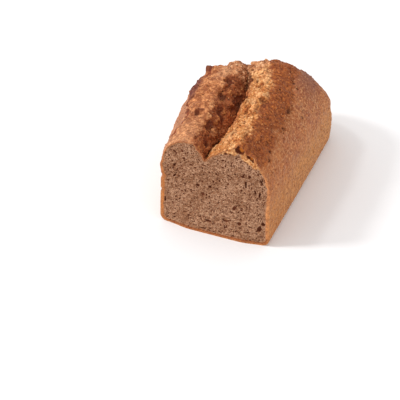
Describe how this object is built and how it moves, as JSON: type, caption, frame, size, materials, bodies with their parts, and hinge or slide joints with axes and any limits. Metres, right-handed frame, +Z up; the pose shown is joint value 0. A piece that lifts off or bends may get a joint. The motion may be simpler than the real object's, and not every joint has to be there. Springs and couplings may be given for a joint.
{
  "type": "spelt bread loaf",
  "caption": "Cut loaf of spelt bread with a split, two-lobed crust, a flat base and a flat cut face that shows the crumb.",
  "frame": {"origin": "middle of the flat base", "axes": "+Z up, +Y along the loaf towards the baked end, +X to the right as seen from the cut face"},
  "size_m": [0.1125, 0.1813, 0.1031],
  "materials": {
    "crust": "matte, browned and uneven",
    "crumb": "matte, open-pored"
  },
  "bodies": {
    "root": {"spelt_loaf": "crust"}
  },
  "joints": []
}
